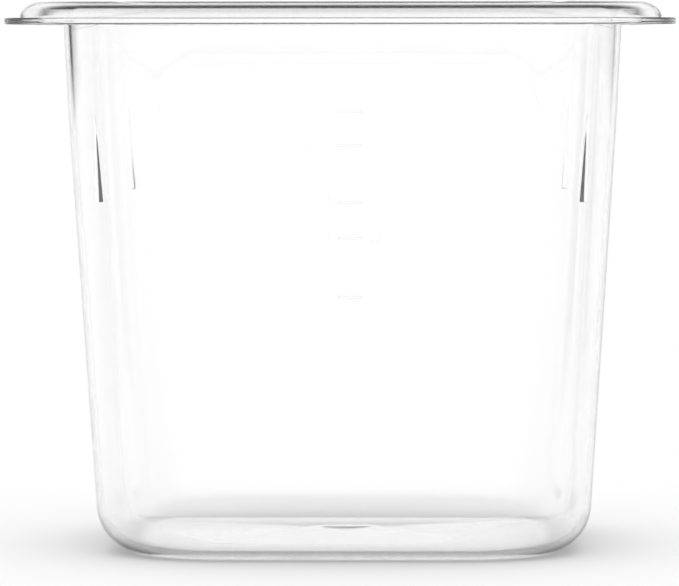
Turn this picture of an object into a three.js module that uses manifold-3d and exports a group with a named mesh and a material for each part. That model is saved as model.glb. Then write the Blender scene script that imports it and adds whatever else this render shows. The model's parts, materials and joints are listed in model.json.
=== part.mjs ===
// Clear food pan, one-sixth size and 150 mm deep: one injection-moulded polycarbonate piece.
// Millimetres, +Z up. The origin is the middle of the underside of the base, +X runs along the
// longer side, and the graduated wall is the +Y one.
import * as THREE from "three";
import { mergeVertices } from "three/addons/utils/BufferGeometryUtils.js";
import Module from "manifold-3d";

const wasm = await Module();
wasm.setup();

// Overall size, from lip tip to lip tip and from the base to the top of the rim.
const LENGTH = 176;
const WIDTH = 162;
const HEIGHT = 149;

// Walls and base. An inset is a distance inwards from the lip tip, the same on all four sides.
// A draft is the inset gained per millimetre down the wall, and it is greater below the bend.
const WALL_THICKNESS = 1.8;
const FLOOR_THICKNESS = 2;
const WALL_INSET_TOP = 13.3;
const WALL_BEND_Z = 118;
const DRAFT_ABOVE_BEND = 0.047;
const DRAFT_BELOW_BEND = 0.0605;
const BASE_FILLET = 13;
const CORNER_RADIUS_BASE = 35.5;
const CORNER_RADIUS_TOP = 29.5;

// Flange: a thin flat lip, a raised shoulder inside it and a flat rim that rolls into the opening.
const LIP_UNDERSIDE_Z = 142.9;
const LIP_THICKNESS = 1.8;
const LIP_EDGE_ROUND = 0.85;
const LIP_CORNER_RADIUS = 8.5;
const SHOULDER_INSET = 3.5;
const SHOULDER_WIDTH = 6.3;
const SHOULDER_THICKNESS = 2;
const SHOULDER_CORNER_RADIUS = 14.5;
const RIM_THICKNESS = 1.95;
const RIM_EDGE_ROUND = 2.35;
const CHANNEL_FILLET = 1.65;
const CHANNEL_ARC_DROP = 1.2;

// Denesting lugs: one square-cornered ledge on each rounded corner of the walls.
const LUG_BOTTOM_Z = 95.9;
const LUG_TOP_Z = 119;
const LUG_CORNER = { x: 65.05, y: 57.1 };
const LUG_SPREAD_AT_TOP = { x: 0.45, y: 1.2 };
const LUG_DEPTH_BOTTOM = 2;
const LUG_DEPTH_TOP = 0.5;

// Graduation bars on the outside of the +Y wall.
const GRADUATION_HEIGHTS = [64.7, 81.5, 91.9, 108.2, 118.1];
const GRADUATION_LENGTH = 7;
const GRADUATION_WIDTH = 0.9;
const GRADUATION_RELIEF = 0.35;

// Gate mark: a round recess under the base with a nub in it, and a low dome above it inside.
const GATE_RADIUS = 6.4;
const GATE_DEPTH = 1.2;
const GATE_NUB_RADIUS = 1.6;
const GATE_NUB_HEIGHT = 0.8;
const DOME_RADIUS = 11.9;
const DOME_TOP_RADIUS = 6.8;
const DOME_HEIGHT = 1.1;

// Facets in each rounded corner of the plan, in each round of the section, and round the gate.
const CORNER_FACETS = 10;
const ROUND_FACETS = 5;
const GATE_FACETS = 32;

// How far a joined piece runs into the solid that it grows from.
const OVERLAP = 0.6;

// Vertices closer than this become one.
const MERGE_DISTANCE = 1e-4;

const LIP_TOP_Z = LIP_UNDERSIDE_Z + LIP_THICKNESS;
const LEAN_ABOVE_BEND = Math.atan(DRAFT_ABOVE_BEND);
const LEAN_BELOW_BEND = Math.atan(DRAFT_BELOW_BEND);

function wallInset(z) {
  const aboveBend = LIP_UNDERSIDE_Z - Math.max(z, WALL_BEND_Z);
  const belowBend = Math.max(WALL_BEND_Z - z, 0);
  return WALL_INSET_TOP + DRAFT_ABOVE_BEND * aboveBend + DRAFT_BELOW_BEND * belowBend;
}

// The corners are widest at the base, and even above the bend.
function wallCornerRadius(z) {
  const share = Math.min((z - BASE_FILLET) / (WALL_BEND_Z - BASE_FILLET), 1);
  return CORNER_RADIUS_BASE + (CORNER_RADIUS_TOP - CORNER_RADIUS_BASE) * share;
}

// One level of the section: the rounded rectangle at this inset and height.
const level = (inset, z, cornerRadius) => ({ inset, z, cornerRadius });

// A level of the wall, moved inwards from its outside by an offset.
const wallLevel = (z, offset) => level(wallInset(z) + offset, z, wallCornerRadius(z) - offset);

// Levels along a quarter of an ellipse, from one angle to another, seen in section.
function roundLevels(centre, halfWidth, halfHeight, fromAngle, toAngle, cornerRadiusAt) {
  const levels = [];
  for (let i = 0; i <= ROUND_FACETS; i++) {
    const angle = fromAngle + (toAngle - fromAngle) * (i / ROUND_FACETS);
    const inset = centre.inset - halfWidth * Math.cos(angle);
    levels.push(level(inset, centre.z + halfHeight * Math.sin(angle), cornerRadiusAt(inset)));
  }
  return levels;
}

// The round between the floor and the walls: outside when offset is 0, inside when it is the
// wall thickness. Its levels run from the floor up to the wall.
function baseRound(floorZ, offset) {
  const radius = BASE_FILLET - offset;
  const wallZ = floorZ + radius * (1 - Math.sin(LEAN_BELOW_BEND));
  const wall = wallLevel(wallZ, offset);
  const centre = { inset: wall.inset + radius * Math.cos(LEAN_BELOW_BEND), z: floorZ + radius };
  const cornerRadiusAt = (inset) => wall.cornerRadius - (inset - wall.inset);
  return roundLevels(centre, radius, radius, -Math.PI / 2, -LEAN_BELOW_BEND, cornerRadiusAt);
}

// The underside of the flange, from the wall out through the hollow channel to the lip.
function flangeUnderside() {
  const ceilingZ = HEIGHT - RIM_THICKNESS;
  const wall = wallLevel(ceilingZ - CHANNEL_FILLET, 0);
  const filletCentre = { inset: wall.inset - CHANNEL_FILLET, z: wall.z };
  const filletRadiusAt = (inset) => wall.cornerRadius + (wall.inset - inset);
  const arcCentre = { inset: SHOULDER_INSET + SHOULDER_WIDTH, z: LIP_TOP_Z - CHANNEL_ARC_DROP };
  const arcWidth = SHOULDER_WIDTH - SHOULDER_THICKNESS;
  const arcHeight = ceilingZ - arcCentre.z;
  const innerRadius = SHOULDER_CORNER_RADIUS - SHOULDER_THICKNESS;
  const footInset = SHOULDER_INSET + SHOULDER_THICKNESS;
  return [
    ...roundLevels(filletCentre, -CHANNEL_FILLET, CHANNEL_FILLET, 0, Math.PI / 2, filletRadiusAt),
    ...roundLevels(arcCentre, arcWidth, arcHeight, Math.PI / 2, 0, () => innerRadius),
    level(footInset, LIP_UNDERSIDE_Z, innerRadius),
  ];
}

// The thin lip with its rounded edge, from its underside round to its top.
function lip() {
  const edge = LIP_EDGE_ROUND;
  const lower = { inset: edge, z: LIP_UNDERSIDE_Z + edge };
  const upper = { inset: edge, z: LIP_TOP_Z - edge };
  const radiusAt = (inset) => LIP_CORNER_RADIUS - inset;
  return [
    ...roundLevels(lower, edge, edge, -Math.PI / 2, 0, radiusAt),
    ...roundLevels(upper, edge, edge, 0, Math.PI / 2, radiusAt),
  ];
}

// The raised shoulder and the flat rim, from the lip's top over to the opening.
function rimTop() {
  const shoulderCentre = { inset: SHOULDER_INSET + SHOULDER_WIDTH, z: LIP_TOP_Z };
  const shoulderHeight = HEIGHT - LIP_TOP_Z;
  const opening = wallLevel(HEIGHT - RIM_EDGE_ROUND, WALL_THICKNESS);
  const openingCentre = { inset: opening.inset - RIM_EDGE_ROUND, z: HEIGHT - RIM_EDGE_ROUND };
  const openingRadiusAt = (inset) => opening.cornerRadius - (inset - opening.inset);
  return [
    ...roundLevels(shoulderCentre, SHOULDER_WIDTH, shoulderHeight, 0, Math.PI / 2,
      () => SHOULDER_CORNER_RADIUS),
    ...roundLevels(openingCentre, RIM_EDGE_ROUND, RIM_EDGE_ROUND, Math.PI / 2, Math.PI,
      openingRadiusAt),
  ];
}

// The whole section, from the underside of the base up the outside, over the flange and down the
// inside to the floor.
function sectionLevels() {
  return [
    ...baseRound(0, 0),
    wallLevel(WALL_BEND_Z, 0),
    ...flangeUnderside(),
    ...lip(),
    ...rimTop(),
    wallLevel(WALL_BEND_Z, WALL_THICKNESS),
    ...baseRound(FLOOR_THICKNESS, WALL_THICKNESS).reverse(),
  ];
}

// The points of one level, anticlockwise seen from above, starting in the +X +Y corner.
function levelPoints({ inset, z, cornerRadius }) {
  const points = [];
  const centreX = LENGTH / 2 - inset - cornerRadius;
  const centreY = WIDTH / 2 - inset - cornerRadius;
  const corners = [[1, 1], [-1, 1], [-1, -1], [1, -1]];
  corners.forEach(([signX, signY], corner) => {
    for (let i = 0; i <= CORNER_FACETS; i++) {
      const angle = (corner + i / CORNER_FACETS) * (Math.PI / 2);
      points.push(
        signX * centreX + cornerRadius * Math.cos(angle),
        signY * centreY + cornerRadius * Math.sin(angle),
        z);
    }
  });
  return points;
}

// A closed skin through all the levels, with a fan of triangles over the first and the last.
function loft(levels) {
  const count = 4 * (CORNER_FACETS + 1);
  const positions = levels.flatMap(levelPoints);
  const indices = [];
  for (let row = 0; row < levels.length - 1; row++) {
    for (let i = 0; i < count; i++) {
      const a = row * count + i;
      const b = row * count + ((i + 1) % count);
      indices.push(a, b, b + count, a, b + count, a + count);
    }
  }
  const first = levels.length * count;
  const last = first + 1;
  positions.push(0, 0, levels[0].z, 0, 0, levels[levels.length - 1].z);
  const lastRow = (levels.length - 1) * count;
  for (let i = 0; i < count; i++) {
    const next = (i + 1) % count;
    indices.push(first, next, i);
    indices.push(last, lastRow + i, lastRow + next);
  }
  const geometry = new THREE.BufferGeometry();
  geometry.setAttribute("position", new THREE.Float32BufferAttribute(positions, 3));
  geometry.setIndex(indices);
  return geometry;
}

// Triangles that lose a corner when vertices merge, as at the poles of a lathe, are left out.
function toSolid(geometry) {
  const bare = geometry.clone();
  bare.deleteAttribute("normal");
  bare.deleteAttribute("uv");
  const merged = mergeVertices(bare, MERGE_DISTANCE);
  const index = merged.index.array;
  const triangles = [];
  for (let i = 0; i < index.length; i += 3) {
    const [a, b, c] = [index[i], index[i + 1], index[i + 2]];
    if (a !== b && b !== c && c !== a) triangles.push(a, b, c);
  }
  return new wasm.Manifold(new wasm.Mesh({
    numProp: 3,
    vertProperties: new Float32Array(merged.attributes.position.array),
    triVerts: new Uint32Array(triangles),
  }));
}

function toGeometry(solid) {
  const mesh = solid.getMesh();
  const geometry = new THREE.BufferGeometry();
  geometry.setAttribute("position", new THREE.BufferAttribute(mesh.vertProperties, 3));
  geometry.setIndex(new THREE.BufferAttribute(mesh.triVerts, 1));
  return geometry;
}

// A solid of revolution about +Z. Its [radius, height] pairs start at the bottom on the axis and
// end at the top on the axis.
function turned(profile) {
  const points = profile.map(([radius, z]) => new THREE.Vector2(radius, z));
  return toSolid(new THREE.LatheGeometry(points, GATE_FACETS).rotateX(Math.PI / 2));
}

// The recess under the base leaves a nub standing in its middle.
function gateRecess() {
  return turned([
    [0, -OVERLAP],
    [GATE_RADIUS, -OVERLAP],
    [GATE_RADIUS, GATE_DEPTH],
    [GATE_NUB_RADIUS, GATE_DEPTH],
    [GATE_NUB_RADIUS, GATE_DEPTH - GATE_NUB_HEIGHT],
    [0, GATE_DEPTH - GATE_NUB_HEIGHT],
  ]);
}

function gateDome() {
  return turned([
    [0, FLOOR_THICKNESS - OVERLAP],
    [DOME_RADIUS, FLOOR_THICKNESS - OVERLAP],
    [DOME_RADIUS, FLOOR_THICKNESS],
    [DOME_TOP_RADIUS, FLOOR_THICKNESS + DOME_HEIGHT],
    [0, FLOOR_THICKNESS + DOME_HEIGHT],
  ]);
}

// A box whose top face is moved and resized against its bottom face.
function tapered(bottom, top) {
  const geometry = new THREE.BoxGeometry(1, 1, 1);
  const position = geometry.attributes.position;
  for (let i = 0; i < position.count; i++) {
    const face = position.getZ(i) > 0 ? top : bottom;
    const x = position.getX(i) > 0 ? face.maxX : face.minX;
    const y = position.getY(i) > 0 ? face.maxY : face.minY;
    position.setXYZ(i, x, y, face.z);
  }
  return geometry;
}

// The lug's two outer faces lean less than the rounded corner does, which swallows them at the top.
function lug() {
  const face = (z, spread, depth) => ({
    z,
    minX: LUG_CORNER.x + spread.x - depth,
    maxX: LUG_CORNER.x + spread.x,
    minY: LUG_CORNER.y + spread.y - depth,
    maxY: LUG_CORNER.y + spread.y,
  });
  return tapered(
    face(LUG_BOTTOM_Z, { x: 0, y: 0 }, LUG_DEPTH_BOTTOM),
    face(LUG_TOP_Z, LUG_SPREAD_AT_TOP, LUG_DEPTH_TOP));
}

function lugs() {
  const turns = [[1, 1], [-1, 1], [-1, -1], [1, -1]];
  return turns.map(([signX, signY]) => {
    const solid = toSolid(lug());
    return solid.mirror([signX < 0 ? 1 : 0, 0, 0]).mirror([0, signY < 0 ? 1 : 0, 0]);
  });
}

// A raised bar on the outside of the +Y wall.
function graduation(z) {
  const wallY = WIDTH / 2 - wallInset(z);
  const bar = new THREE.BoxGeometry(GRADUATION_LENGTH, OVERLAP + GRADUATION_RELIEF, GRADUATION_WIDTH);
  bar.translate(0, (GRADUATION_RELIEF - OVERLAP) / 2, 0);
  bar.rotateX(z > WALL_BEND_Z ? -LEAN_ABOVE_BEND : -LEAN_BELOW_BEND);
  bar.translate(0, wallY, z);
  return toSolid(bar);
}

function panGeometry() {
  let pan = toSolid(loft(sectionLevels()));
  for (const piece of [...lugs(), ...GRADUATION_HEIGHTS.map(graduation), gateDome()]) {
    pan = pan.add(piece);
  }
  return toGeometry(pan.subtract(gateRecess()));
}

const clearPolycarbonate = new THREE.MeshStandardMaterial({
  color: 0xeef1f0,
  roughness: 0.08,
  metalness: 0,
  transparent: true,
  opacity: 0.35,
});

const panBody = new THREE.Mesh(panGeometry(), clearPolycarbonate);
panBody.name = "pan_body";

const foodPan = new THREE.Group();
foodPan.add(panBody);

export default foodPan;
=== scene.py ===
"""Looks for the clear food pan: one moulding of clear polycarbonate, standing on a white floor."""

import json
import math

import bmesh
import bpy
from mathutils import Matrix, Vector


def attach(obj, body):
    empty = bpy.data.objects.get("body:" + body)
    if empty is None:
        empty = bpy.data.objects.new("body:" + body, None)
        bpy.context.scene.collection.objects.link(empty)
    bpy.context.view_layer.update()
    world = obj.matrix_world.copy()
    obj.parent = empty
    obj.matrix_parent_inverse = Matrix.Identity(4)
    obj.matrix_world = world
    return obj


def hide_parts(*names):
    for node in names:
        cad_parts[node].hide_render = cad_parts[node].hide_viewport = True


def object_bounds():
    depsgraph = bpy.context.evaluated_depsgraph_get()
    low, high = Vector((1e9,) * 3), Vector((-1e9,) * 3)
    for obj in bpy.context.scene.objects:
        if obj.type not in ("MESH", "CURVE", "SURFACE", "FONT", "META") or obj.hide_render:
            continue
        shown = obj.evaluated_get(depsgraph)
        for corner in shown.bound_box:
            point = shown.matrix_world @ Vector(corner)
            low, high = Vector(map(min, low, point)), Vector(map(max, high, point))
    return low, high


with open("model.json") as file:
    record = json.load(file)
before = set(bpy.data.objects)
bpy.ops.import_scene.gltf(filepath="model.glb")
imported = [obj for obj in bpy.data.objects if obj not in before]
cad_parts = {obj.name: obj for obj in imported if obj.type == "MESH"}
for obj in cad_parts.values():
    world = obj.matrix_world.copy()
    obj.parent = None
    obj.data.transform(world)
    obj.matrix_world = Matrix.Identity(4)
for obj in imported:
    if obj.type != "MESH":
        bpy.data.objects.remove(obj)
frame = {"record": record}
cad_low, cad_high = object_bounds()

MM = 0.001
QUARTER = math.pi / 2

# ------------------------------------------------------------------ the pan's shape, in metres
# Overall size and the flange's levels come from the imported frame.
MOUNT_AT = {mount["name"]: Vector(mount["pos_m"]) for mount in frame["record"]["mounts"]}
LENGTH = cad_high.x - cad_low.x
WIDTH = cad_high.y - cad_low.y
HEIGHT = MOUNT_AT["rim_top"].z
LIP_UNDERSIDE_Z = MOUNT_AT["lip_underside"].z

# Walls and base. An inset is a distance inwards from the lip tip, the same on all four sides.
# A draft is the inset gained per unit of height down the wall; it is greater below the bend.
WALL_THICKNESS = 1.8 * MM
FLOOR_THICKNESS = 2 * MM
WALL_INSET_TOP = 13.3 * MM
WALL_BEND_Z = 118 * MM
DRAFT_ABOVE_BEND = 0.047
DRAFT_BELOW_BEND = 0.0605
BASE_FILLET = 13 * MM
CORNER_RADIUS_BASE = 35.5 * MM
CORNER_RADIUS_TOP = 29.5 * MM
LEAN_ABOVE_BEND = math.atan(DRAFT_ABOVE_BEND)
LEAN_BELOW_BEND = math.atan(DRAFT_BELOW_BEND)

# Flange.
LIP_THICKNESS = 1.8 * MM
LIP_EDGE_ROUND = 0.85 * MM
LIP_CORNER_RADIUS = 8.5 * MM
LIP_TOP_Z = LIP_UNDERSIDE_Z + LIP_THICKNESS
SHOULDER_INSET = 3.5 * MM
SHOULDER_WIDTH = 6.3 * MM
SHOULDER_THICKNESS = 2 * MM
SHOULDER_CORNER_RADIUS = 14.5 * MM
RIM_THICKNESS = 1.95 * MM
RIM_EDGE_ROUND = 2.35 * MM
CHANNEL_FILLET = 1.65 * MM
CHANNEL_ARC_DROP = 1.2 * MM

# Denesting lugs.
LUG_BOTTOM_Z = 95.9 * MM
LUG_TOP_Z = 119 * MM
LUG_CORNER = (65.05 * MM, 57.1 * MM)
LUG_SPREAD_AT_TOP = (0.45 * MM, 1.2 * MM)
LUG_DEPTH_BOTTOM = 2 * MM
LUG_DEPTH_TOP = 0.5 * MM
LUG_EDGE_ROUND = 0.25 * MM

# Graduations on the outside of the +Y wall: a height and the number beside its bar.
GRADUATIONS = [(64.7, "1"), (81.5, "1.25"), (91.9, "1.5"), (108.2, "1.75"), (118.1, "2")]
SECOND_NUMBERS = [(81.5, "42"), (108.2, "60")]
GRADUATION_LENGTH = 7 * MM
GRADUATION_WIDTH = 0.7 * MM
GRADUATION_RELIEF = 0.3 * MM
DIGIT_SIZE = 4.6 * MM
DIGIT_GAP = 1.4 * MM
BAR_EDGE_ROUND = 0.25 * MM
DIGIT_EDGE_ROUND = 0.12 * MM

# Gate mark in the middle of the base.
GATE_RADIUS = 6.4 * MM
GATE_DEPTH = 1.2 * MM
GATE_NUB_RADIUS = 1.6 * MM
GATE_NUB_HEIGHT = 0.8 * MM
DOME_RADIUS = 11.9 * MM
DOME_TOP_RADIUS = 6.8 * MM
DOME_HEIGHT = 1.1 * MM

# Facets in each corner of the plan, along each straight side, in each round of the section, up
# the walls, round the gate, across each softened edge, and in the curves and edges of a number.
CORNER_FACETS = 28
SIDE_FACETS = 8
ROUND_FACETS = 10
WALL_LEVELS = 16
GATE_FACETS = 64
EDGE_FACETS = 3
DIGIT_CURVE_FACETS = 4
DIGIT_EDGE_FACETS = 2

# Edges sharper than this are drawn as edges.
SHARP_ANGLE_DEG = 32

# How far a joined piece runs into the solid that it grows from.
OVERLAP = 0.6 * MM

# Points nearer to each other than this are one point.
SAME_POINT = 0.001 * MM


def wall_inset(z):
    """How far inwards from the lip tip the outside of a wall lies at height z."""
    above_bend = LIP_UNDERSIDE_Z - max(z, WALL_BEND_Z)
    below_bend = max(WALL_BEND_Z - z, 0)
    return WALL_INSET_TOP + DRAFT_ABOVE_BEND * above_bend + DRAFT_BELOW_BEND * below_bend


def wall_corner_radius(z):
    """Shrinks evenly from the top of the base's fillet up to the bend, and not above it."""
    share = min((z - BASE_FILLET) / (WALL_BEND_Z - BASE_FILLET), 1)
    return CORNER_RADIUS_BASE + (CORNER_RADIUS_TOP - CORNER_RADIUS_BASE) * share


def wall_level(z, offset):
    """The wall's rounded rectangle at height z, moved inwards by offset: inset, z, corner radius."""
    return (wall_inset(z) + offset, z, wall_corner_radius(z) - offset)


def round_levels(centre, half_width, half_height, from_angle, to_angle, corner_radius_at):
    """Levels along an arc of an ellipse seen in section."""
    levels = []
    for i in range(ROUND_FACETS + 1):
        angle = from_angle + (to_angle - from_angle) * i / ROUND_FACETS
        inset = centre[0] - half_width * math.cos(angle)
        levels.append((inset, centre[1] + half_height * math.sin(angle), corner_radius_at(inset)))
    return levels


def base_round(floor_z, offset):
    """The round between floor and walls, from the floor up: outside at offset 0, else inside."""
    radius = BASE_FILLET - offset
    wall_z = floor_z + radius * (1 - math.sin(LEAN_BELOW_BEND))
    inset, _, corner_radius = wall_level(wall_z, offset)
    centre = (inset + radius * math.cos(LEAN_BELOW_BEND), floor_z + radius)
    return round_levels(
        centre, radius, radius, -QUARTER, -LEAN_BELOW_BEND,
        lambda at: corner_radius - (at - inset))


def wall_run(from_z, to_z, offset):
    """Levels up or down a wall, without its two ends."""
    steps = range(1, WALL_LEVELS)
    return [wall_level(from_z + (to_z - from_z) * i / WALL_LEVELS, offset) for i in steps]


def flange_underside():
    """From the wall out through the hollow channel to the lip."""
    ceiling_z = HEIGHT - RIM_THICKNESS
    wall = wall_level(ceiling_z - CHANNEL_FILLET, 0)
    fillet_centre = (wall[0] - CHANNEL_FILLET, wall[1])
    arc_centre = (SHOULDER_INSET + SHOULDER_WIDTH, LIP_TOP_Z - CHANNEL_ARC_DROP)
    inner_radius = SHOULDER_CORNER_RADIUS - SHOULDER_THICKNESS
    return [
        *round_levels(fillet_centre, -CHANNEL_FILLET, CHANNEL_FILLET, 0, QUARTER,
                      lambda at: wall[2] + (wall[0] - at)),
        *round_levels(arc_centre, SHOULDER_WIDTH - SHOULDER_THICKNESS, ceiling_z - arc_centre[1],
                      QUARTER, 0, lambda at: inner_radius),
        (SHOULDER_INSET + SHOULDER_THICKNESS, LIP_UNDERSIDE_Z, inner_radius),
    ]


def lip():
    """The thin lip with its rounded edge, from its underside round to its top."""
    edge = LIP_EDGE_ROUND
    low_centre = (edge, LIP_UNDERSIDE_Z + edge)
    high_centre = (edge, LIP_TOP_Z - edge)
    return [
        *round_levels(low_centre, edge, edge, -QUARTER, 0, lambda at: LIP_CORNER_RADIUS - at),
        *round_levels(high_centre, edge, edge, 0, QUARTER, lambda at: LIP_CORNER_RADIUS - at),
    ]


def rim_top():
    """The raised shoulder and the flat rim, from the lip's top over to the opening."""
    shoulder_centre = (SHOULDER_INSET + SHOULDER_WIDTH, LIP_TOP_Z)
    opening = wall_level(HEIGHT - RIM_EDGE_ROUND, WALL_THICKNESS)
    opening_centre = (opening[0] - RIM_EDGE_ROUND, HEIGHT - RIM_EDGE_ROUND)
    return [
        *round_levels(shoulder_centre, SHOULDER_WIDTH, HEIGHT - LIP_TOP_Z, 0, QUARTER,
                      lambda at: SHOULDER_CORNER_RADIUS),
        *round_levels(opening_centre, RIM_EDGE_ROUND, RIM_EDGE_ROUND, QUARTER, math.pi,
                      lambda at: opening[2] - (at - opening[0])),
    ]


def section_levels():
    """The whole section, from under the base up the outside, over the flange and down inside."""
    outside = base_round(0, 0)
    underside = flange_underside()
    top = rim_top()
    inside = base_round(FLOOR_THICKNESS, WALL_THICKNESS)[::-1]
    return [
        *outside,
        *wall_run(outside[-1][1], underside[0][1], 0),
        *underside,
        *lip(),
        *top,
        *wall_run(top[-1][1], inside[0][1], WALL_THICKNESS),
        *inside,
    ]


def level_points(level):
    """The points of one level, anticlockwise seen from above."""
    inset, z, radius = level
    centre_x = LENGTH / 2 - inset - radius
    centre_y = WIDTH / 2 - inset - radius
    corners = [(1, 1), (-1, 1), (-1, -1), (1, -1)]
    arcs = []
    for corner, (sign_x, sign_y) in enumerate(corners):
        arc = []
        for i in range(CORNER_FACETS + 1):
            angle = (corner + i / CORNER_FACETS) * QUARTER
            x = sign_x * centre_x + radius * math.cos(angle)
            y = sign_y * centre_y + radius * math.sin(angle)
            arc.append(Vector((x, y, z)))
        arcs.append(arc)
    points = []
    for corner, arc in enumerate(arcs):
        following = arcs[(corner + 1) % len(arcs)][0]
        points += arc
        points += [arc[-1].lerp(following, i / SIDE_FACETS) for i in range(1, SIDE_FACETS)]
    return points


def new_object(name, bm):
    mesh = bpy.data.meshes.new(name)
    bm.to_mesh(mesh)
    bm.free()
    made = bpy.data.objects.new(name, mesh)
    bpy.context.scene.collection.objects.link(made)
    return made


def skin(bm, rings):
    """Closes rings of points into a solid, with a flat face over the first and the last."""
    for low, high in zip(rings, rings[1:]):
        for i in range(len(low)):
            j = (i + 1) % len(low)
            bm.faces.new((low[i], low[j], high[j], high[i]))
    bm.faces.new(rings[0][::-1])
    bm.faces.new(rings[-1])


def loft(name, levels):
    """A solid through all the levels."""
    bm = bmesh.new()
    skin(bm, [[bm.verts.new(point) for point in level_points(level)] for level in levels])
    return new_object(name, bm)


def turned(name, profile):
    """A solid of revolution about Z through (radius, z) pairs, with flat ends."""
    bm = bmesh.new()
    rings = []
    for radius, z in profile:
        ring = []
        for i in range(GATE_FACETS):
            angle = 2 * math.pi * i / GATE_FACETS
            ring.append(bm.verts.new((radius * math.cos(angle), radius * math.sin(angle), z)))
        rings.append(ring)
    skin(bm, rings)
    return new_object(name, bm)


def gate_recess():
    """The round recess under the base, with the nub left standing in its middle."""
    return turned("gate_recess", [
        (GATE_RADIUS, -OVERLAP),
        (GATE_RADIUS, GATE_DEPTH),
        (GATE_NUB_RADIUS, GATE_DEPTH),
        (GATE_NUB_RADIUS, GATE_DEPTH - GATE_NUB_HEIGHT),
    ])


def gate_dome():
    """The low dome on the floor that makes up for the recess."""
    return turned("gate_dome", [
        (DOME_RADIUS, FLOOR_THICKNESS - OVERLAP),
        (DOME_RADIUS, FLOOR_THICKNESS),
        (DOME_TOP_RADIUS, FLOOR_THICKNESS + DOME_HEIGHT),
    ])


def soften(bm, radius):
    """Rounds every edge, as a mould does. A profile of one half is a circle's arc."""
    bmesh.ops.bevel(
        bm, geom=list(bm.edges), offset=radius, segments=EDGE_FACETS, profile=0.5,
        affect="EDGES", clamp_overlap=True)


def lug(sign_x, sign_y):
    """A ledge whose outer faces lean less than the rounded corner does, which swallows its top."""
    bm = bmesh.new()
    ends = [
        (LUG_BOTTOM_Z, (0, 0), LUG_DEPTH_BOTTOM),
        (LUG_TOP_Z, LUG_SPREAD_AT_TOP, LUG_DEPTH_TOP),
    ]
    rings = []
    for z, spread, depth in ends:
        high_x, high_y = LUG_CORNER[0] + spread[0], LUG_CORNER[1] + spread[1]
        corners = [(high_x - depth, high_y - depth), (high_x, high_y - depth),
                   (high_x, high_y), (high_x - depth, high_y)]
        rings.append([bm.verts.new((sign_x * x, sign_y * y, z)) for x, y in corners])
    skin(bm, rings)
    bmesh.ops.recalc_face_normals(bm, faces=bm.faces)
    soften(bm, LUG_EDGE_ROUND)
    return new_object("lug", bm)


def on_back_wall(x, z):
    """The frame of a mark on the outside of the +Y wall, readable from behind the pan."""
    lean = LEAN_ABOVE_BEND if z > WALL_BEND_Z else LEAN_BELOW_BEND
    turn = Matrix.Rotation(math.pi, 4, "Z") @ Matrix.Rotation(QUARTER + lean, 4, "X")
    return Matrix.Translation((x, WIDTH / 2 - wall_inset(z), z)) @ turn


def graduation_bar(z):
    """A raised bar across the middle of the wall at height z."""
    bm = bmesh.new()
    bmesh.ops.create_cube(bm, size=1)
    depth = GRADUATION_RELIEF + OVERLAP
    bmesh.ops.scale(bm, vec=(GRADUATION_LENGTH, GRADUATION_WIDTH, depth), verts=bm.verts)
    bmesh.ops.translate(bm, vec=(0, 0, GRADUATION_RELIEF - depth / 2), verts=bm.verts)
    soften(bm, BAR_EDGE_ROUND)
    bm.transform(on_back_wall(0, z))
    return new_object("graduation_bar", bm)


def digits(text, z, side):
    """Raised numbers beside a bar; side 1 is right of it and -1 left of it, seen from behind."""
    curve = bpy.data.curves.new("digits", "FONT")
    curve.body = text
    curve.size = DIGIT_SIZE
    curve.align_x = "LEFT" if side > 0 else "RIGHT"
    curve.align_y = "CENTER"
    curve.extrude = (GRADUATION_RELIEF + OVERLAP) / 2 - DIGIT_EDGE_ROUND
    curve.bevel_depth = DIGIT_EDGE_ROUND
    curve.bevel_resolution = DIGIT_EDGE_FACETS - 1
    curve.offset = -DIGIT_EDGE_ROUND
    curve.resolution_u = DIGIT_CURVE_FACETS
    shown = bpy.data.objects.new("digits", curve)
    bpy.context.scene.collection.objects.link(shown)
    bpy.context.view_layer.update()
    mesh = shown.evaluated_get(bpy.context.evaluated_depsgraph_get()).to_mesh()
    bm = bmesh.new()
    bm.from_mesh(mesh)
    bpy.data.objects.remove(shown)
    bmesh.ops.remove_doubles(bm, verts=bm.verts, dist=SAME_POINT)
    bmesh.ops.recalc_face_normals(bm, faces=bm.faces)
    bmesh.ops.beautify_fill(bm, faces=bm.faces, edges=bm.edges)
    bmesh.ops.translate(bm, vec=(0, 0, (GRADUATION_RELIEF - OVERLAP) / 2), verts=bm.verts)
    start = side * (GRADUATION_LENGTH / 2 + DIGIT_GAP)
    bm.transform(on_back_wall(-start, z))
    return new_object("digits", bm)


def combine(target, tools, operation):
    """Joins each tool to the target, or cuts it away, and removes the tool."""
    for tool in tools:
        step = target.modifiers.new("combine", "BOOLEAN")
        step.operation = operation
        step.solver = "EXACT"
        step.object = tool
        with bpy.context.temp_override(object=target, active_object=target):
            bpy.ops.object.modifier_apply(modifier=step.name)
        bpy.data.objects.remove(tool)


def build_pan():
    """The lofted body with its lugs, marks and dome joined to it, and the gate recess cut out."""
    pan = loft("clear_pan", section_levels())
    raised = [lug(sign_x, sign_y) for sign_x in (1, -1) for sign_y in (1, -1)]
    raised += [graduation_bar(z * MM) for z, _ in GRADUATIONS]
    raised += [digits(text, z * MM, 1) for z, text in GRADUATIONS]
    raised += [digits(text, z * MM, -1) for z, text in SECOND_NUMBERS]
    raised.append(gate_dome())
    combine(pan, raised, "UNION")
    combine(pan, [gate_recess()], "DIFFERENCE")
    pan.data.shade_smooth()
    pan.data.set_sharp_from_angle(angle=math.radians(SHARP_ANGLE_DEG))
    return pan


# ------------------------------------------------------------------ shader nodes
def fill(tree, node, inputs):
    """Sets inputs of a node, given by name or place, to values or to other nodes' outputs."""
    for name, value in inputs.items():
        if isinstance(value, bpy.types.NodeSocket):
            tree.links.new(value, node.inputs[name])
        else:
            node.inputs[name].default_value = value


def new_node(tree, kind, inputs):
    node = tree.nodes.new(kind)
    fill(tree, node, inputs)
    return node


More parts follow.
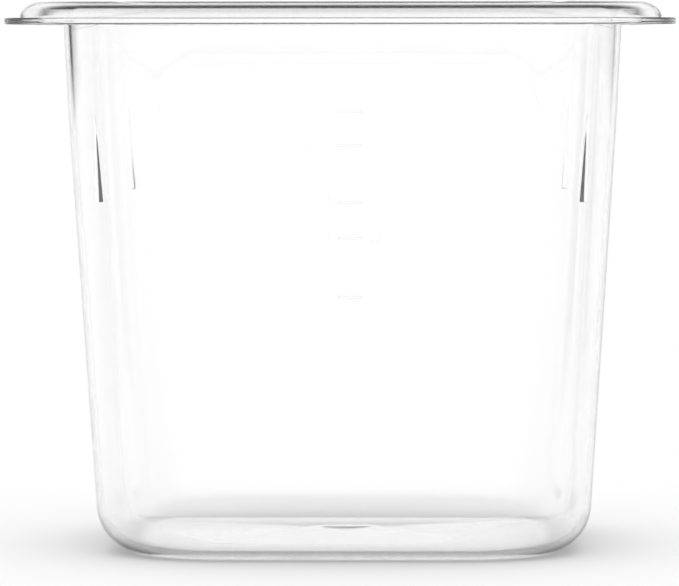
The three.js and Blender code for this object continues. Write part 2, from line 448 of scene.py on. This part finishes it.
def split_xyz(tree, vector):
    return new_node(tree, "ShaderNodeSeparateXYZ", {"Vector": vector}).outputs


def noise(tree, where, scale, detail):
    inputs = {"Vector": where, "Scale": scale, "Detail": detail}
    return new_node(tree, "ShaderNodeTexNoise", inputs).outputs["Fac"]


def map_range(tree, value, from_range, to_range=(0, 1)):
    """A value carried over from one range to another, and held at its ends."""
    node = new_node(tree, "ShaderNodeMapRange", {
        "Value": value,
        "From Min": from_range[0],
        "From Max": from_range[1],
        "To Min": to_range[0],
        "To Max": to_range[1],
    })
    return node.outputs["Result"]


def calculated(tree, operation, *values):
    node = tree.nodes.new("ShaderNodeMath")
    node.operation = operation
    fill(tree, node, dict(enumerate(values)))
    return node.outputs[0]


def mixed_colour(tree, share, none, full):
    """One colour where the share is 0, the other where it is 1."""
    node = tree.nodes.new("ShaderNodeMix")
    node.data_type = "RGBA"
    fill(tree, node, {"Factor": share, "A": none, "B": full})
    return node.outputs["Result"]


# ------------------------------------------------------------------ material
# Clear polycarbonate. What it doesn't transmit it scatters at the surface.
PLASTIC_COLOUR = (0.998, 1, 0.999, 1)
TRANSMISSION = 0.975
REFRACTIVE_INDEX = 1.585

# Mould-flow ripple: slow waves in the surface that bend what is seen through it. A scale counts
# waves to the metre.
RIPPLE_SCALE = 28
RIPPLE_DETAIL = 2
RIPPLE_STRENGTH = 0.05
RIPPLE_HEIGHT = 0.4 * MM

# Handling haze: patches that are a little less polished. The noise's levels in the first pair
# give the roughnesses in the second.
HAZE_SCALE = 60
HAZE_DETAIL = 6
HAZE_NOISE = (0.35, 0.75)
HAZE_ROUGHNESS = (0.005, 0.035)

# How much of the light on its way to the floor passes a surface: the first at the foot of the
# walls, and the second from the shadow's height up and on level faces. On a level face the
# normal's height is near 1.
SHADOW_TINT = 0.6
CLEAR_TINT = 0.97
SHADOW_HEIGHT = 70 * MM
LEVEL_NORMAL_Z = (0.9, 1)


def ripple(tree, where):
    waves = noise(tree, where, RIPPLE_SCALE, RIPPLE_DETAIL)
    bump = new_node(tree, "ShaderNodeBump", {
        "Strength": RIPPLE_STRENGTH,
        "Distance": RIPPLE_HEIGHT,
        "Height": waves,
    })
    return bump.outputs["Normal"]


def haze(tree, where):
    return map_range(tree, noise(tree, where, HAZE_SCALE, HAZE_DETAIL), HAZE_NOISE, HAZE_ROUGHNESS)


def passing_light(tree, where):
    """A tinted clear skin, so that the pan's shadow is as pale as a clear tub's is.

    The rounds low down bend light away, so the shadow gathers close round the base.
    """
    by_height = map_range(
        tree, split_xyz(tree, where)["Z"], (0, SHADOW_HEIGHT), (SHADOW_TINT, CLEAR_TINT))
    normal = new_node(tree, "ShaderNodeNewGeometry", {}).outputs["Normal"]
    normal_z = calculated(tree, "ABSOLUTE", split_xyz(tree, normal)["Z"])
    by_slope = map_range(tree, normal_z, LEVEL_NORMAL_Z, (0, CLEAR_TINT))
    tint = calculated(tree, "MAXIMUM", by_height, by_slope)
    return new_node(tree, "ShaderNodeBsdfTransparent", {"Color": tint}).outputs[0]


def clear_polycarbonate():
    """Refracting plastic to the eye, and a tinted clear skin to the light that reaches the floor."""
    material = bpy.data.materials.new("clear_polycarbonate")
    material.use_nodes = True
    tree = material.node_tree
    where = new_node(tree, "ShaderNodeTexCoord", {}).outputs["Object"]
    plastic = tree.nodes["Principled BSDF"]
    fill(tree, plastic, {
        "Base Color": PLASTIC_COLOUR,
        "Transmission Weight": TRANSMISSION,
        "IOR": REFRACTIVE_INDEX,
        "Normal": ripple(tree, where),
        "Roughness": haze(tree, where),
    })
    path = new_node(tree, "ShaderNodeLightPath", {}).outputs
    floor_light = calculated(tree, "MAXIMUM", path["Is Shadow Ray"], path["Is Diffuse Ray"])
    surface = new_node(tree, "ShaderNodeMixShader", {
        0: floor_light,
        1: plastic.outputs[0],
        2: passing_light(tree, where),
    })
    fill(tree, tree.nodes["Material Output"], {"Surface": surface.outputs[0]})
    return material


# ------------------------------------------------------------------ stage, light and camera
# The floor runs on far past the camera.
STAGE_SIZE = 60
STAGE_COLOUR = (0.9, 0.9, 0.9, 1)
STAGE_ROUGHNESS = 0.9
STAGE_SHINE = 0.1


def white_floor():
    bpy.ops.mesh.primitive_plane_add(size=STAGE_SIZE)
    floor = bpy.context.object
    floor.name = "floor"
    material = bpy.data.materials.new("white_floor")
    material.use_nodes = True
    fill(material.node_tree, material.node_tree.nodes["Principled BSDF"], {
        "Base Color": STAGE_COLOUR,
        "Roughness": STAGE_ROUGHNESS,
        "Specular IOR Level": STAGE_SHINE,
    })
    floor.data.materials.append(material)


# The lamp is as broad as this much of the sky, and a negative tilt puts it behind the pan.
OVERHEAD_STRENGTH = 1.95
OVERHEAD_BREADTH_DEG = 70
OVERHEAD_TILT_DEG = -8


def overhead_light():
    """A broad soft light from above that lights the whole floor evenly."""
    lamp = bpy.data.lights.new("overhead", "SUN")
    lamp.energy = OVERHEAD_STRENGTH
    lamp.angle = math.radians(OVERHEAD_BREADTH_DEG)
    made = bpy.data.objects.new("overhead", lamp)
    made.visible_glossy = False
    made.visible_transmission = False
    bpy.context.scene.collection.objects.link(made)
    made.rotation_euler = (math.radians(OVERHEAD_TILT_DEG), 0, 0)


# Dark cards behind the pan on both sides, where the white background ends. They draw the dark
# lines down the walls' edges. Each has a side (-1 is left), its headings off straight back in
# degrees, and the grey level of its upper part. It pales towards its foot.
CARDS = [(-1, 38, 62, 0.0), (1, 38, 62, 0.45)]
CARD_DISTANCE = 1000 * MM
CARD_HEIGHT = 300 * MM
CARD_PALE_Z = 50 * MM
CARD_DARK_Z = 95 * MM
CARD_FOOT_LEVEL = 0.95


def card_material(grey):
    """Glows with the given grey level above, and pales towards its foot."""
    material = bpy.data.materials.new("edge_card")
    material.use_nodes = True
    tree = material.node_tree
    tree.nodes.remove(tree.nodes["Principled BSDF"])
    where = new_node(tree, "ShaderNodeTexCoord", {}).outputs["Object"]
    level = map_range(
        tree, split_xyz(tree, where)["Z"], (CARD_PALE_Z, CARD_DARK_Z), (CARD_FOOT_LEVEL, grey))
    glow = new_node(tree, "ShaderNodeEmission", {"Color": level})
    fill(tree, tree.nodes["Material Output"], {"Surface": glow.outputs[0]})
    return material


def edge_card(side, from_heading, to_heading, grey):
    """A card that is seen only in the plastic, and that takes no light from the floor."""
    bm = bmesh.new()
    feet = []
    for heading in (from_heading, to_heading):
        angle = math.radians(heading)
        x = side * CARD_DISTANCE * math.sin(angle)
        feet.append((x, CARD_DISTANCE * math.cos(angle)))
    corners = [(x, y, 0) for x, y in feet] + [(x, y, CARD_HEIGHT) for x, y in feet[::-1]]
    bm.faces.new([bm.verts.new(corner) for corner in corners])
    card = new_object("edge_card", bm)
    card.data.materials.append(card_material(grey))
    card.visible_camera = False
    card.visible_diffuse = False
    card.visible_shadow = False


# Brightness of the studio all round, as stops of height (the sine of the elevation) and level.
BEHIND_PAN = [(0.0, 1.0), (0.55, 0.95), (0.7, 0.4), (0.8, 0.0)]
BESIDE_PAN = [(0.0, 0.85), (0.6, 0.7), (0.8, 0.0)]
BEHIND_CAMERA = [(0.0, 1.45), (0.45, 1.4), (0.7, 1.1), (0.8, 0.0)]

# Headings between which the sides give way to the back and to the front. A heading is 1 towards
# the back of the pan, 0 to its sides and -1 towards the camera.
BACK_HEADINGS = (0.3, 0.8)
FRONT_HEADINGS = (-0.2, -0.7)

WHITE = (1, 1, 1, 1)


def brightness(tree, height, stops):
    ramp = new_node(tree, "ShaderNodeValToRGB", {"Fac": height})
    elements = ramp.color_ramp.elements
    while len(elements) < len(stops):
        elements.new(1)
    for element, (position, level) in zip(elements, stops):
        element.position = position
        element.color = (level, level, level, 1)
    return ramp.outputs["Color"]


def studio_world():
    """White panels all round under a dark ceiling. The camera sees plain white."""
    world = bpy.data.worlds.new("studio")
    bpy.context.scene.world = world
    world.use_nodes = True
    tree = world.node_tree
    direction = split_xyz(tree, new_node(tree, "ShaderNodeTexCoord", {}).outputs["Generated"])

    flat = {"X": direction["X"], "Y": direction["Y"]}
    level = new_node(tree, "ShaderNodeCombineXYZ", flat).outputs[0]
    unit = tree.nodes.new("ShaderNodeVectorMath")
    unit.operation = "NORMALIZE"
    fill(tree, unit, {0: level})
    heading = split_xyz(tree, unit.outputs[0])["Y"]

    shade = brightness(tree, direction["Z"], BESIDE_PAN)
    for stops, headings in [(BEHIND_PAN, BACK_HEADINGS), (BEHIND_CAMERA, FRONT_HEADINGS)]:
        share = map_range(tree, heading, headings)
        shade = mixed_colour(tree, share, shade, brightness(tree, direction["Z"], stops))
    path = new_node(tree, "ShaderNodeLightPath", {}).outputs
    shade = mixed_colour(tree, path["Is Camera Ray"], shade, WHITE)
    fill(tree, tree.nodes["Background"], {"Color": shade, "Strength": 1})


# The camera looks at the front of the pan, turned a little to the left, downwards and round.
CAMERA_AT = (28.8 * MM, -1459 * MM, 141.7 * MM)
CAMERA_LENS_MM = 280.9
CAMERA_SENSOR_MM = 36
CAMERA_LEFT_DEG = 1.193
CAMERA_DOWN_DEG = 2.853
CAMERA_ROLL_DEG = 0.05

# Light runs to and fro inside the walls and the flange many times before it leaves them.
LIGHT_BOUNCES = 24


def camera():
    data = bpy.data.cameras.new("camera")
    data.lens = CAMERA_LENS_MM
    data.sensor_width = CAMERA_SENSOR_MM
    made = bpy.data.objects.new("camera", data)
    bpy.context.scene.collection.objects.link(made)
    made.location = CAMERA_AT
    turn = (90 - CAMERA_DOWN_DEG, CAMERA_ROLL_DEG, CAMERA_LEFT_DEG)
    made.rotation_euler = tuple(math.radians(angle) for angle in turn)
    bpy.context.scene.camera = made


camera()
white_floor()
studio_world()
overhead_light()
for card in CARDS:
    edge_card(*card)

pan = build_pan()
pan.data.materials.clear()
pan.data.materials.append(clear_polycarbonate())
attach(pan, "root")
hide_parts("pan_body")

scene = bpy.context.scene
scene.view_settings.view_transform = "Standard"
scene.cycles.max_bounces = LIGHT_BOUNCES
scene.cycles.transmission_bounces = LIGHT_BOUNCES
scene.cycles.transparent_max_bounces = LIGHT_BOUNCES
